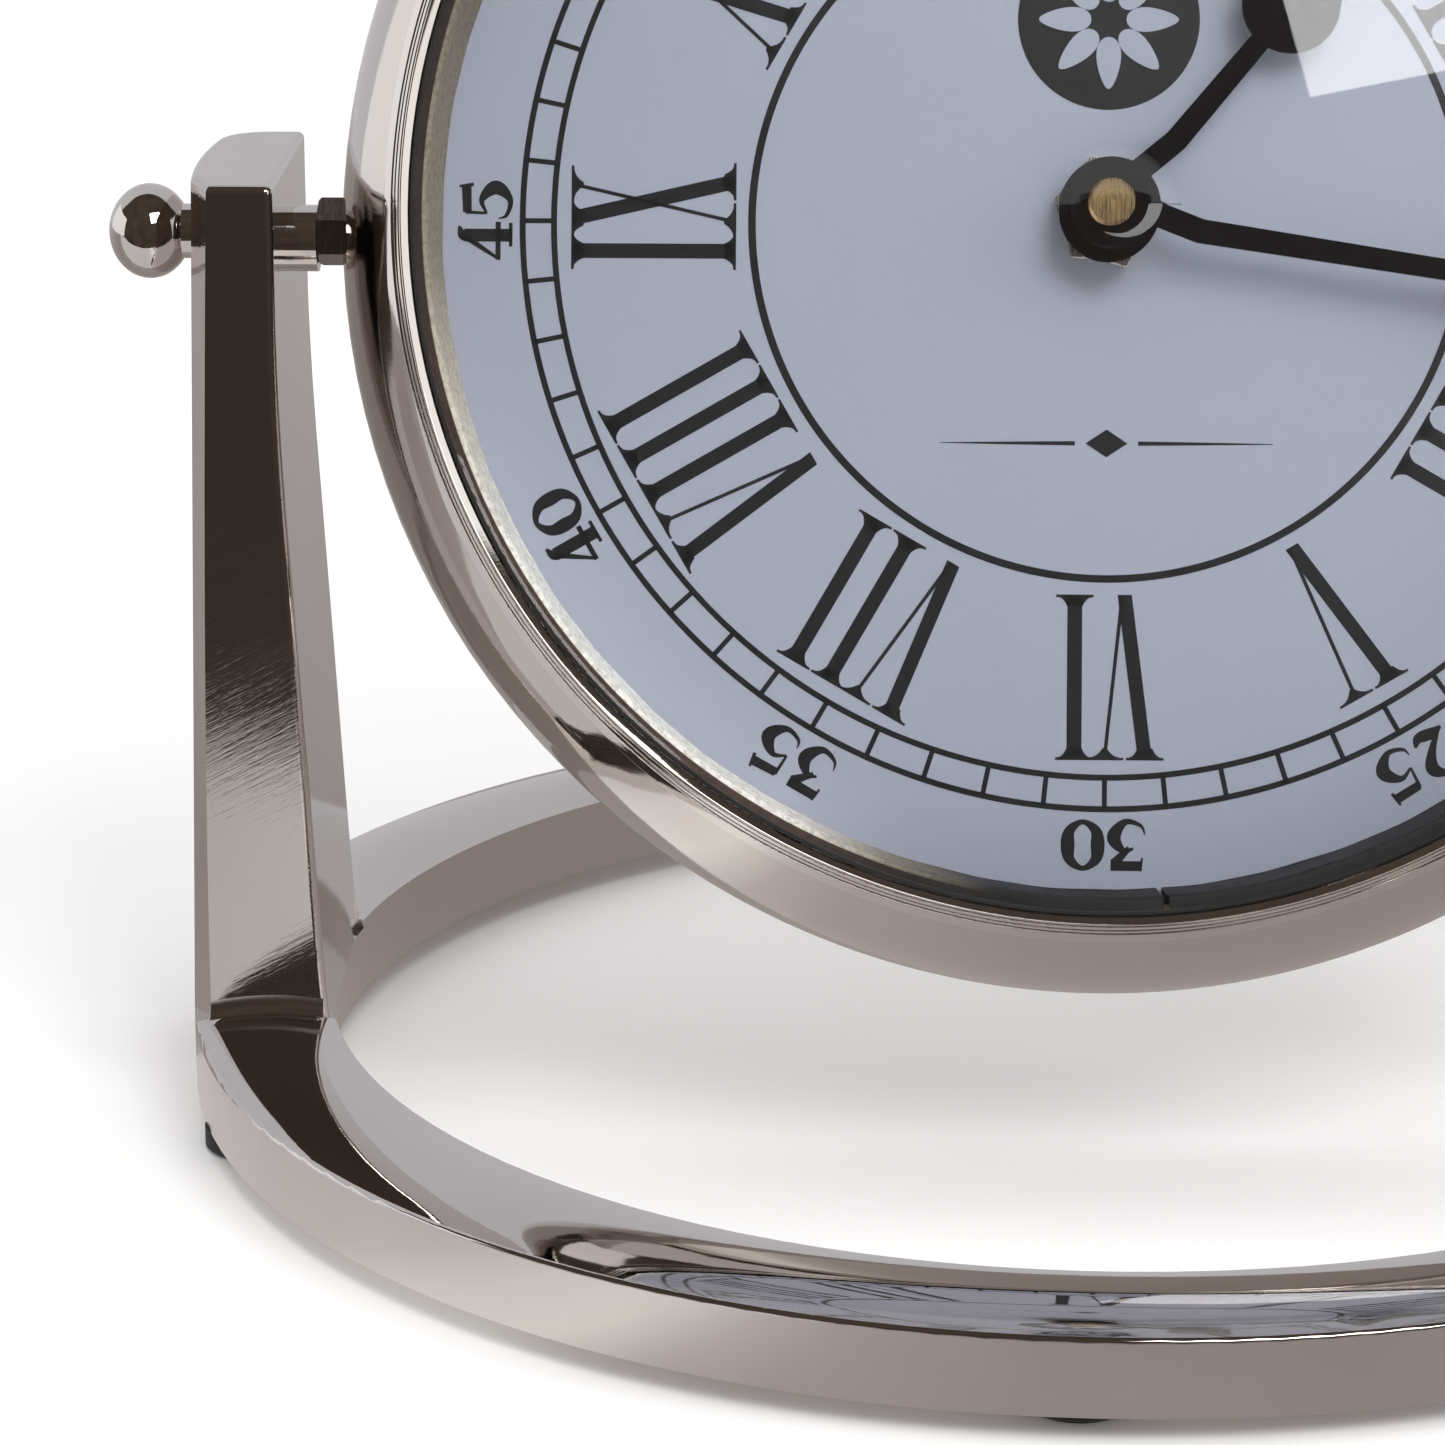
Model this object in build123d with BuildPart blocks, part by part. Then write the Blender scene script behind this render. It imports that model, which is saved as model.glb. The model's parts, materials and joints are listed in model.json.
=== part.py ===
from build123d import *
import os
from math import cos, radians, sin, sqrt

# Mantel clock: a round case that tilts between two uprights on a ring-shaped base.
# Row frame: origin on the table under the centre of the ring, +X to the viewer's right,
# +Y away from the viewer, +Z up. Sizes are in millimetres.

# ---- driving dimensions: case ------------------------------------------------
case_radius = 88.3          # widest radius of the bulged shell
bulge_level = 5.0           # axial place of the widest radius, in front of the pivot axis
shell_front = 22.5          # axial place of the shell's front lip
shell_back = -8.0           # axial place of the shell's back lip
shell_shoulder = 6.3        # how much the bulge falls in by the front lip
shell_wall = 1.2
front_lip_width = 4.1
back_lip_width = 7.0
case_tilt = 18.0            # degrees the dial leans back at rest

# ---- driving dimensions: bezel, glass, dial ---------------------------------
bezel_width = 2.6
bezel_height = 2.5
bezel_groove = 0.35
gasket_width = 0.9
gasket_height = 2.0
glass_thickness = 2.0
glass_dome = 5.0
reflector_wall = 0.6
reflector_taper = 0.8
reflector_gap = 0.2
dial_level = 10.8           # axial place of the printed face
dial_thickness = 0.8
lip_step = 0.5

# ---- driving dimensions: stand ----------------------------------------------
foot_height = 2.8
foot_radius = 5.5
foot_edge = 0.5
foot_inset = 9.8            # from the ring's outer wall to a front or back foot
side_foot_inset = 5.2       # the same for the feet under the uprights
foot_places = ((267.0, False), (196.0, True), (167.0, True), (87.0, False), (13.0, True), (344.0, True))
ring_width = 16.5
ring_height = 8.7
ring_crown = 1.3
ring_inner_rise = 0.5
ring_outer_edge = 0.6
ring_inner_edge = 1.8
ring_bottom_edge = 0.8
case_clearance = 2.5        # under the case, above the crown of the ring
seat_depth = 0.5            # how deep an upright is let into the ring
upright_depth = 36.0
upright_thickness = 10.8    # at the pivot axis
upright_lean = 2.6          # how much the outer face leans in from foot to top
upright_rise = 8.7          # of the top above the pivot axis
upright_foot_spread = 4.3   # how much further in the inner face stands at the foot
upright_mid_spread = 1.4
upright_top_edge = 0.9
upright_front_edge = 0.9    # of the inner corner of the front
upright_bevel_width = 1.9   # of the bevel at the outer corner of the front, across
upright_bevel_depth = 6.5   # the same, back along the outer face
upright_back_edge = 6.0

# ---- driving dimensions: pivot hardware ---------------------------------------
stud_radius = 2.0
running_clearance = 0.05
face_clearance = 0.1
neck_clearance = 0.25       # of the knob's neck from the leaning outer face
nut_flats = 7.0
nut_thickness = 3.2
nut_chamfer = 0.35
washer_radius = 4.5
washer_thickness = 0.8
spacer_radius = 3.9
spacer_bore = 2.85
spacer_length = 3.4
knob_radius = 5.55
knob_half_length = 4.8
knob_neck_radius = 3.2
knob_neck_length = 1.4
knob_thread_depth = 4.5
stud_tail = 0.7

# ---- driving dimensions: fasteners --------------------------------------------
seat_screw_radius = 2.0
seat_screw_head = 4.0
seat_screw_length = 16.0
seat_screw_spacing = 18.0
back_screw_radius = 1.25
back_screw_head = 2.4
back_screw_head_height = 1.1
back_screw_length = 5.0
back_screw_inset = 3.0

# ---- driving dimensions: movement --------------------------------------------
movement_size = 56.0
movement_depth = 17.6
movement_corner = 4.0
movement_wall = 1.5
movement_plate_thickness = 1.5
cushion_radius = 13.0
cushion_thickness = 0.6
window_gap = 0.8
back_cover_thickness = 1.2
bushing_radius = 3.95
bushing_length = 4.8
centre_nut_flats = 11.1
centre_nut_thickness = 2.2
battery_radius = 7.1
battery_length = 50.0
battery_button_radius = 2.7
battery_button_length = 1.0
bay_clearance = 0.3
contact_thickness = 0.4
contact_width = 9.0

# ---- driving dimensions: motion work and hands ---------------------------------
wheel_thickness = 0.8
wheel_gap = 0.05
wheel_step = 1.2            # from one wheel level to the next
train_distance = 11.0       # from the hand axis to the minute wheel's arbor
train_angle = 135.0
cannon_ratio = 3            # minute wheel teeth over cannon pinion teeth
hour_ratio = 4              # hour wheel teeth over minute pinion teeth
knob_pinion_radius = 2.0
arbor_radius = 0.6
arbor_clearance = 0.3       # round an arbor where it passes the circuit board
hour_tube_radius = 2.65
hour_tube_bore = 1.88
minute_shaft_radius = 1.8
hand_thickness = 0.5
hour_hand_level = 14.7
minute_hand_level = 16.5
hour_hub_radius = 5.8
minute_hub_radius = 4.65
hour_lobe_place = 31.9
hour_lobe_radius = 5.6
hour_hand_length = 43.0
minute_lobe_place = 47.0
minute_lobe_radius = 5.0
minute_hand_length = 60.0
hand_root_width = 2.9
hand_tip_width = 2.3        # just before the lobe
tip_spread = 0.8            # half width of a hand's pointed tip over its lobe's radius
tip_rise = 0.6              # where that tip starts beyond the lobe's centre, over the same
hour_hand_angle = 39.8      # clockwise from twelve
minute_hand_angle = 98.7
cap_radius = 2.65
cap_height = 2.5
cap_chamfer = 0.3
cap_pip = 0.5
set_knob_radius = 6.0
set_knob_height = 2.6
set_knob_gap = 0.3
set_knob_ribs = 18
rotor_radius = 2.6
rotor_height = 3.0
stator_thickness = 1.0
coil_radius = 3.2
coil_length = 20.0
core_radius = 1.2
core_overhang = 3.0
board_size = (22.0, 6.0, 1.0)
board_gap = 1.0
chip_size = (5.0, 4.0, 1.0)

# ---- derived places ------------------------------------------------------------
ring_bottom = foot_height
ring_shoulder = ring_bottom + ring_height
pivot_height = ring_shoulder + ring_crown + case_clearance + case_radius
nut_outer_face = case_radius + face_clearance + nut_thickness
upright_inner = nut_outer_face + face_clearance + spacer_length
upright_outer = upright_inner + upright_thickness
upright_top = pivot_height + upright_rise
upright_seat = ring_shoulder - seat_depth
lean_at_pivot = upright_lean * (pivot_height - ring_shoulder) / (upright_top - ring_shoulder)
ring_radius = upright_outer + lean_at_pivot
ring_inner_radius = ring_radius - ring_width
ring_mid_radius = ring_radius - ring_width / 2

pivot = Vector(0, 0, pivot_height)
tilt_sin = sin(radians(case_tilt))
tilt_cos = cos(radians(case_tilt))
case_normal = Vector(0, -tilt_cos, tilt_sin)
case_axis = Axis(pivot, case_normal)
section_plane = Plane(origin=pivot, x_dir=(1, 0, 0), z_dir=(0, -tilt_sin, -tilt_cos))

front_offset = shell_front - bulge_level
bulge_arc = (front_offset**2 + shell_shoulder**2) / (2 * shell_shoulder)
bulge_centre = case_radius - bulge_arc


def wall_radius(level, inset=0.0):
    """Radius of the bulged wall at an axial level, less an inset measured along its normal."""
    return bulge_centre + sqrt((bulge_arc - inset) ** 2 - (level - bulge_level) ** 2)


bezel_outer = wall_radius(shell_front)
front_opening = bezel_outer - front_lip_width
back_corner = wall_radius(shell_back)
back_opening = back_corner - back_lip_width
bezel_inner = bezel_outer - bezel_width
glass_radius = bezel_inner - gasket_width
glass_seat = shell_front + lip_step
reflector_outer = front_opening - reflector_gap
reflector_top_bore = reflector_outer - reflector_wall
dial_radius = reflector_outer
dial_back = dial_level - dial_thickness
back_cover_radius = back_corner - shell_wall
cover_screw_radius = back_cover_radius - back_screw_inset
plate_front = dial_back - cushion_thickness
plate_back = plate_front - movement_plate_thickness
movement_back = plate_front - movement_depth
bay_height = 2 * (battery_radius + bay_clearance)
bay_low = -movement_size / 2 + movement_wall
bay_centre = bay_low + bay_height / 2
chamber_low = bay_low + bay_height + movement_wall
chamber_high = movement_size / 2 - movement_wall
inside_width = movement_size - 2 * movement_wall
bay_roof = movement_back + bay_height
hour_wheel_level = plate_back - 2 * wheel_step
centre_wheel_level = hour_wheel_level - wheel_step
minute_wheel_level = centre_wheel_level - wheel_step


def case_level(level, clock_angle=0.0, across=0.0, up=0.0):
    """Plane parallel to the dial at an axial level, its Y towards a clock angle."""
    turn = radians(clock_angle)
    right = Vector(1, 0, 0)
    upward = Vector(0, tilt_sin, tilt_cos)
    origin = pivot + case_normal * level + right * across + upward * up
    return Plane(origin=origin, x_dir=right * cos(turn) - upward * sin(turn), z_dir=case_normal)


def side_plane(distance):
    """Plane across the pivot axis at a distance to the right of the middle, facing right."""
    return Plane(origin=(distance, 0, pivot_height), x_dir=(0, 1, 0), z_dir=(1, 0, 0))


def save(piece, name):
    piece.part.label = name
    export_step(piece.part, f"parts/{name}.step")


def save_pair(piece, name):
    """Write a piece of the right-hand side and its mirror image for the left."""
    save(piece, f"{name}_right")
    with BuildPart() as mirrored:
        add(piece.part)
        mirror(about=Plane.YZ, mode=Mode.REPLACE)
    save(mirrored, f"{name}_left")


os.makedirs("parts", exist_ok=True)

# ---- base ring -------------------------------------------------------------------
seat_screw_places = [
    (side * ring_mid_radius, along * seat_screw_spacing / 2) for side in (-1, 1) for along in (-1, 1)
]
seat_head_height = seat_screw_head - seat_screw_radius

with BuildPart() as base_ring:
    with BuildSketch(Plane.XZ):
        with BuildLine():
            Polyline(
                (ring_inner_radius, ring_shoulder + ring_inner_rise),
                (ring_inner_radius, ring_bottom),
                (ring_radius, ring_bottom),
                (ring_radius, ring_shoulder),
            )
            ThreePointArc(
                (ring_radius, ring_shoulder),
                (ring_mid_radius, ring_shoulder + ring_crown),
                (ring_inner_radius, ring_shoulder + ring_inner_rise),
            )
        ring_face = make_face()
        top_corners = ring_face.vertices().sort_by(Axis.Y)[2:].sort_by(Axis.X)
        bottom_corners = ring_face.vertices().sort_by(Axis.Y)[:2]
        fillet(top_corners[1], ring_outer_edge)
        fillet(top_corners[0], ring_inner_edge)
        fillet(bottom_corners, ring_bottom_edge)
    revolve(axis=Axis.Z)
    with BuildSketch(Plane.XY.offset(upright_seat)):
        Rectangle(3 * ring_radius, upright_depth)
    extrude(amount=ring_height, mode=Mode.SUBTRACT)
    with Locations(*[(x, y, ring_bottom) for x, y in seat_screw_places]):
        Cylinder(seat_screw_radius, ring_height, align=(Align.CENTER, Align.CENTER, Align.MIN), mode=Mode.SUBTRACT)
        Cone(
            seat_screw_head,
            seat_screw_radius,
            seat_head_height,
            align=(Align.CENTER, Align.CENTER, Align.MIN),
            mode=Mode.SUBTRACT,
        )
save(base_ring, "base_ring")

# ---- uprights ----------------------------------------------------------------------
upright_middle = (upright_seat + upright_top) / 2
flat_start = pivot_height - 2 * spacer_radius
screw_tip = ring_bottom + seat_screw_length
long_edge = (upright_top - upright_seat) / 2   # only the upright's own long edges are longer

with BuildPart() as upright:
    with BuildSketch(Plane.XZ):
        with BuildLine():
            Spline(
                (upright_inner - upright_foot_spread, upright_seat),
                (upright_inner - upright_mid_spread, upright_middle),
                (upright_inner, flat_start),
                tangents=((upright_foot_spread, upright_middle), (0, 1)),
            )
            Polyline(
                (upright_inner, flat_start),
                (upright_inner, upright_top),
                (2 * ring_radius, upright_top),
                (2 * ring_radius, upright_seat),
                (upright_inner - upright_foot_spread, upright_seat),
            )
        make_face()
    extrude(amount=upright_depth / 2, both=True)
    with BuildSketch(Plane.XZ):
        Polygon(
            (0, upright_seat),
            (ring_radius, upright_seat),
            (ring_radius, ring_shoulder),
            (ring_radius - upright_lean, upright_top),
            (0, upright_top),
            align=None,
        )
    revolve(axis=Axis.Z, mode=Mode.INTERSECT)
    outer_edges = upright.edges().filter_by(lambda edge: edge.length > long_edge)
    outer_edges = outer_edges.sort_by(Axis.X)[-2:].sort_by(Axis.Y)
    fillet(outer_edges[1], upright_back_edge)
    front_face = upright.faces().sort_by(Axis.Y)[0]
    front_edges = front_face.edges().filter_by(lambda edge: edge.length > long_edge).sort_by(Axis.X)
    chamfer(front_edges[-1], upright_bevel_width, upright_bevel_depth, reference=front_face)
    inner_edges = upright.edges().filter_by(lambda edge: edge.length > long_edge)
    fillet(inner_edges.sort_by(Axis.Y)[:2].sort_by(Axis.X)[0], upright_front_edge)
    fillet(upright.faces().sort_by(Axis.Z)[-1].edges(), upright_top_edge)
    with BuildSketch(side_plane(0)):
        Circle(stud_radius + running_clearance)
    extrude(amount=2 * ring_radius, mode=Mode.SUBTRACT)
    with Locations(*[(x, y, upright_seat) for x, y in seat_screw_places if x > 0]):
        Cylinder(
            seat_screw_radius,
            screw_tip - upright_seat,
            align=(Align.CENTER, Align.CENTER, Align.MIN),
            mode=Mode.SUBTRACT,
        )
save_pair(upright, "upright")

with BuildPart() as upright_screws:
    with Locations(*[(x, y, ring_bottom) for x, y in seat_screw_places]):
        Cylinder(seat_screw_radius, seat_screw_length, align=(Align.CENTER, Align.CENTER, Align.MIN))
        Cone(
            seat_screw_head,
            seat_screw_radius,
            seat_head_height,
            align=(Align.CENTER, Align.CENTER, Align.MIN),
        )
save(upright_screws, "upright_screws")

# ---- feet ----------------------------------------------------------------------------
with BuildPart() as feet:
    for place, beside in foot_places:
        reach = ring_radius - (side_foot_inset if beside else foot_inset)
        spot = (reach * cos(radians(place)), reach * sin(radians(place)), 0)
        with Locations(spot):
            Cylinder(foot_radius, foot_height, align=(Align.CENTER, Align.CENTER, Align.MIN))
    chamfer(feet.faces().group_by(Axis.Z)[0].edges(), foot_edge)
save(feet, "feet")

# ---- pivot hardware, one set on each side ------------------------------------------------
inner_seat = sqrt(wall_radius(-washer_radius, shell_wall) ** 2 - washer_radius**2) - face_clearance
inner_nut_end = inner_seat - washer_thickness - nut_thickness
neck_start = upright_outer + neck_clearance
knob_centre = neck_start + knob_neck_length + knob_half_length * sqrt(
    1 - (knob_neck_radius / knob_radius) ** 2
)
stud_end = knob_centre - knob_half_length + knob_thread_depth
spacer_drop = spacer_bore - stud_radius - running_clearance


def make_nut(outer_face, name):
    """Chamfered hexagon nut with flats to the front and back."""
    with BuildPart() as nut:
        with BuildSketch(side_plane(outer_face - nut_thickness)):
            RegularPolygon(nut_flats / 2, 6, major_radius=False, rotation=30)
            Circle(stud_radius, mode=Mode.SUBTRACT)
        extrude(amount=nut_thickness)
        nut_corner = nut_flats / sqrt(3)
        with BuildSketch(Plane.XY.offset(pivot_height)):
            with BuildLine():
                inner_face = outer_face - nut_thickness
                Polyline(
                    (inner_face, 0),
                    (inner_face, nut_corner - nut_chamfer),
                    (inner_face + nut_chamfer, nut_corner),
                    (outer_face - nut_chamfer, nut_corner),
                    (outer_face, nut_corner - nut_chamfer),
                    (outer_face, 0),
                    close=True,
                )
            make_face()
        revolve(axis=Axis(pivot, (1, 0, 0)), mode=Mode.INTERSECT)
    save_pair(nut, name)


with BuildPart() as knob:
    with BuildSketch(Plane.XY.offset(pivot_height)):
        with Locations((knob_centre, 0)):
            Ellipse(knob_half_length, knob_radius)
        with Locations((knob_centre, -knob_radius)):
            Rectangle(2 * knob_radius, 2 * knob_radius, mode=Mode.SUBTRACT)
    revolve(axis=Axis(pivot, (1, 0, 0)))
    with BuildSketch(side_plane(neck_start)):
        Circle(knob_neck_radius)
    extrude(amount=knob_centre - neck_start)
    with BuildSketch(side_plane(0)):
        Circle(stud_radius)
    extrude(amount=stud_end, mode=Mode.SUBTRACT)
save_pair(knob, "pivot_knob")

with BuildPart() as stud:
    with BuildSketch(side_plane(inner_nut_end - stud_tail)):
        Circle(stud_radius)
    extrude(amount=stud_end - inner_nut_end + stud_tail)
save_pair(stud, "pivot_stud")

with BuildPart() as spacer:
    with BuildSketch(side_plane(nut_outer_face + face_clearance)):
        with Locations((0, -spacer_drop)):
            Circle(spacer_radius)
            Circle(spacer_bore, mode=Mode.SUBTRACT)
    extrude(amount=spacer_length)
save_pair(spacer, "pivot_spacer")

with BuildPart() as washer:
    with BuildSketch(side_plane(inner_seat - washer_thickness)):
        Circle(washer_radius)
        Circle(stud_radius, mode=Mode.SUBTRACT)
    extrude(amount=washer_thickness)
save_pair(washer, "pivot_washer")

make_nut(nut_outer_face, "pivot_jam_nut")
make_nut(inner_seat - washer_thickness, "pivot_inner_nut")

# ---- case shell -----------------------------------------------------------------------
inner_front = shell_front - shell_wall
inner_back = shell_back + shell_wall

with BuildPart() as case_shell:
    with BuildSketch(section_plane):
        with BuildLine():
            ThreePointArc((bezel_outer, shell_front), (case_radius, bulge_level), (back_corner, shell_back))
            Polyline(
                (back_corner, shell_back),
                (back_opening, shell_back),
                (back_opening, inner_back),
                (wall_radius(inner_back, shell_wall), inner_back),
            )
            ThreePointArc(
                (wall_radius(inner_back, shell_wall), inner_back),
                (case_radius - shell_wall, bulge_level),
                (wall_radius(inner_front, shell_wall), inner_front),
            )
            Polyline(
                (wall_radius(inner_front, shell_wall), inner_front),
                (front_opening, inner_front),
                (front_opening, shell_front),
                (bezel_outer, shell_front),
            )
        shell_section = make_face()
        fillet(shell_section.vertices().sort_by(Axis.Y)[:2].sort_by(Axis.X)[-1], shell_wall)
    revolve(axis=case_axis)
    with BuildSketch(side_plane(-2 * case_radius)):
        Circle(stud_radius + face_clearance)
    extrude(amount=4 * case_radius, mode=Mode.SUBTRACT)
    with BuildSketch(case_level(shell_back)):
        with PolarLocations(cover_screw_radius, 4, start_angle=45):
            Circle(back_screw_radius)
    extrude(amount=shell_wall, mode=Mode.SUBTRACT)
save(case_shell, "case_shell")

# ---- bezel ------------------------------------------------------------------------------
bezel_front = shell_front + bezel_height
groove_pitch = bezel_width / 4

with BuildPart() as bezel:
    with BuildSketch(section_plane):
        with BuildLine():
            Polyline(
                (bezel_inner, shell_front),
                (bezel_outer, shell_front),
                (bezel_outer, shell_front + bezel_height / 3),
                (bezel_outer - groove_pitch, shell_front + bezel_height / 3),
                (bezel_outer - groove_pitch, bezel_front - bezel_groove),
                (bezel_outer - 2 * groove_pitch, bezel_front),
                (bezel_inner + groove_pitch, bezel_front),
                (bezel_inner + groove_pitch, bezel_front - bezel_groove),
                (bezel_inner, bezel_front - bezel_groove),
                close=True,
            )
        make_face()
    revolve(axis=case_axis)
save(bezel, "bezel")

# ---- glass and its gasket -----------------------------------------------------------------
with BuildPart() as glass_gasket:
    with BuildSketch(case_level(glass_seat)):
        Circle(bezel_inner)
        Circle(glass_radius, mode=Mode.SUBTRACT)
    extrude(amount=gasket_height)
save(glass_gasket, "glass_gasket")

with BuildPart() as glass:
    with BuildSketch(section_plane):
        glass_edge_top = glass_seat + glass_thickness
        dome_half = glass_radius / 2
        dome_arc = (glass_radius**2 + glass_dome**2) / (2 * glass_dome)
        half_rise = sqrt(dome_arc**2 - dome_half**2) - (dome_arc - glass_dome)
        with BuildLine():
            ThreePointArc(
                (0, glass_edge_top + glass_dome),
                (dome_half, glass_edge_top + half_rise),
                (glass_radius, glass_edge_top),
            )
            Line((glass_radius, glass_edge_top), (glass_radius, glass_seat))
            ThreePointArc(
                (glass_radius, glass_seat),
                (dome_half, glass_seat + half_rise),
                (0, glass_seat + glass_dome),
            )
            Line((0, glass_seat + glass_dome), (0, glass_edge_top + glass_dome))
        make_face()
    revolve(axis=case_axis)
save(glass, "glass")

# ---- reflector ring and dial -------------------------------------------------------------
with BuildPart() as reflector_ring:
    with BuildSketch(section_plane):
        with BuildLine():
            Polyline(
                (reflector_outer, dial_level),
                (reflector_outer, shell_front),
                (bezel_inner, shell_front),
                (bezel_inner, glass_seat),
                (reflector_top_bore, glass_seat),
                (reflector_top_bore - reflector_taper, dial_level),
                close=True,
            )
        make_face()
    revolve(axis=case_axis)
save(reflector_ring, "reflector_ring")

with BuildPart() as dial:
    with BuildSketch(case_level(dial_back)):
        Circle(dial_radius)
        Circle(bushing_radius, mode=Mode.SUBTRACT)
    extrude(amount=dial_thickness)
save(dial, "dial")

# ---- back cover ------------------------------------------------------------------------------
cover_back = shell_back - back_cover_thickness
window_size = movement_size + 2 * window_gap

with BuildPart() as back_cover:
    with BuildSketch(case_level(cover_back)):
        Circle(back_cover_radius)
        RectangleRounded(window_size, window_size, movement_corner + window_gap, mode=Mode.SUBTRACT)
        with PolarLocations(cover_screw_radius, 4, start_angle=45):
            Circle(back_screw_radius, mode=Mode.SUBTRACT)
    extrude(amount=back_cover_thickness)
save(back_cover, "back_cover")

with BuildPart() as back_cover_screws:
    with BuildSketch(case_level(cover_back)):
        with PolarLocations(cover_screw_radius, 4, start_angle=45):
            Circle(back_screw_head)
    extrude(amount=-back_screw_head_height)
    with BuildSketch(case_level(cover_back)):
        with PolarLocations(cover_screw_radius, 4, start_angle=45):
            Circle(back_screw_radius)
    extrude(amount=back_screw_length)
save(back_cover_screws, "back_cover_screws")

# ---- movement housing ----------------------------------------------------------------------------
turn = radians(train_angle)
minute_wheel_place = (train_distance * cos(turn), train_distance * sin(turn))
cannon_pitch = train_distance / (1 + cannon_ratio)
minute_wheel_pitch = cannon_ratio * cannon_pitch
minute_pinion_pitch = train_distance / (1 + hour_ratio)
hour_wheel_pitch = hour_ratio * minute_pinion_pitch
knob_place = (minute_wheel_place[0], minute_wheel_place[1] + minute_wheel_pitch + knob_pinion_radius)
rotor_place = (14.0, minute_wheel_place[1])
coil_place = (10.0, chamber_high - coil_radius - movement_wall)

with BuildPart() as movement_case:
    with BuildSketch(case_level(movement_back)):
        RectangleRounded(movement_size, movement_size, movement_corner)
    extrude(amount=plate_back - movement_back)
    with BuildSketch(case_level(movement_back + movement_wall)):
        with Locations((0, (chamber_low + chamber_high) / 2)):
            Rectangle(inside_width, chamber_high - chamber_low)
    extrude(amount=movement_depth, mode=Mode.SUBTRACT)
    with BuildSketch(case_level(movement_back)):
        with Locations((0, bay_centre)):
            Rectangle(inside_width, bay_height)
    extrude(amount=bay_roof - movement_back, mode=Mode.SUBTRACT)
    with BuildSketch(case_level(movement_back)):
        with Locations(knob_place):
            Circle(arbor_radius + running_clearance)
    extrude(amount=movement_wall, mode=Mode.SUBTRACT)
save(movement_case, "movement_case")

with BuildPart() as movement_plate:
    with BuildSketch(case_level(plate_back)):
        RectangleRounded(movement_size, movement_size, movement_corner)
    extrude(amount=movement_plate_thickness)
    with BuildSketch(case_level(plate_front)):
        Circle(bushing_radius)
    extrude(amount=bushing_length)
    with BuildSketch(case_level(plate_back)):
        Circle(hour_tube_radius + running_clearance)
    extrude(amount=movement_plate_thickness + bushing_length, mode=Mode.SUBTRACT)
save(movement_plate, "movement_plate")

with BuildPart() as movement_cushion:
    with BuildSketch(case_level(plate_front)):
        Circle(cushion_radius)
        Circle(bushing_radius, mode=Mode.SUBTRACT)
    extrude(amount=cushion_thickness)
save(movement_cushion, "movement_cushion")

with BuildPart() as centre_nut:
    with BuildSketch(case_level(dial_level, clock_angle=12)):
        RegularPolygon(centre_nut_flats / 2, 6, major_radius=False)
        Circle(bushing_radius, mode=Mode.SUBTRACT)
    extrude(amount=centre_nut_thickness)
save(centre_nut, "centre_nut")

# ---- battery and its contacts -----------------------------------------------------------------------
battery_level = bay_roof - battery_radius - bay_clearance
half_bay = movement_size / 2 - movement_wall
battery_start = half_bay - contact_thickness - battery_length - battery_button_length


def across_plane(offset, up, level):
    """Plane across the movement at an offset to the right, facing right."""
    spot = case_level(level, across=offset, up=up)
    return Plane(origin=spot.origin, x_dir=spot.y_dir, z_dir=(1, 0, 0))


with BuildPart() as battery:
    with BuildSketch(across_plane(battery_start, bay_centre, battery_level)):
        Circle(battery_radius)
    extrude(amount=battery_length)
    with BuildSketch(across_plane(battery_start + battery_length, bay_centre, battery_level)):
        Circle(battery_button_radius)
    extrude(amount=battery_button_length)
save(battery, "battery")

contact_places = {
    "battery_contact_positive": (half_bay - contact_thickness, contact_thickness),
    "battery_contact_negative": (-half_bay, battery_start + half_bay),
}
for contact_name, (contact_start, contact_length) in contact_places.items():
    with BuildPart() as contact:
        with BuildSketch(across_plane(contact_start, bay_centre, battery_level)):
            Rectangle(contact_width, contact_width)
        extrude(amount=contact_length)
    save(contact, contact_name)

# ---- electronics --------------------------------------------------------------------------------------
chamber_floor = movement_back + movement_wall

with BuildPart() as circuit_board:
    board_across = board_size[0] / 2 + board_gap - half_bay
    board_up = chamber_high - board_size[1] / 2 - board_gap
    with BuildSketch(case_level(chamber_floor, across=board_across, up=board_up)):
        Rectangle(board_size[0], board_size[1])
    extrude(amount=board_size[2])
    with BuildSketch(case_level(chamber_floor + board_size[2], across=board_across, up=board_up)):
        Rectangle(chip_size[0], chip_size[1])
    extrude(amount=chip_size[2])
    with BuildSketch(case_level(chamber_floor, across=knob_place[0], up=knob_place[1])):
        Circle(arbor_radius + arbor_clearance)
    extrude(amount=board_size[2] + chip_size[2], mode=Mode.SUBTRACT)
save(circuit_board, "circuit_board")

coil_centre_level = chamber_floor + coil_radius

with BuildPart() as stator:
    stator_drop = coil_place[1] - rotor_place[1]
    with BuildSketch(case_level(chamber_floor + 2 * coil_radius, across=rotor_place[0])):
        with Locations((0, rotor_place[1] + stator_drop / 4)):
            Rectangle(4 * rotor_radius, 2 * rotor_radius + stator_drop)
        with Locations((0, rotor_place[1])):
            Circle(rotor_radius + face_clearance, mode=Mode.SUBTRACT)
    extrude(amount=stator_thickness)
save(stator, "stator")

coil_start = coil_place[0] - coil_length / 2
with BuildPart() as coil_core:
    with BuildSketch(across_plane(coil_start - core_overhang, coil_place[1], coil_centre_level)):
        Circle(core_radius)
    extrude(amount=coil_length + 2 * core_overhang)
save(coil_core, "coil_core")

with BuildPart() as coil:
    with BuildSketch(across_plane(coil_start, coil_place[1], coil_centre_level)):
        Circle(coil_radius)
        Circle(core_radius, mode=Mode.SUBTRACT)
    extrude(amount=coil_length)
save(coil, "coil")

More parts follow.
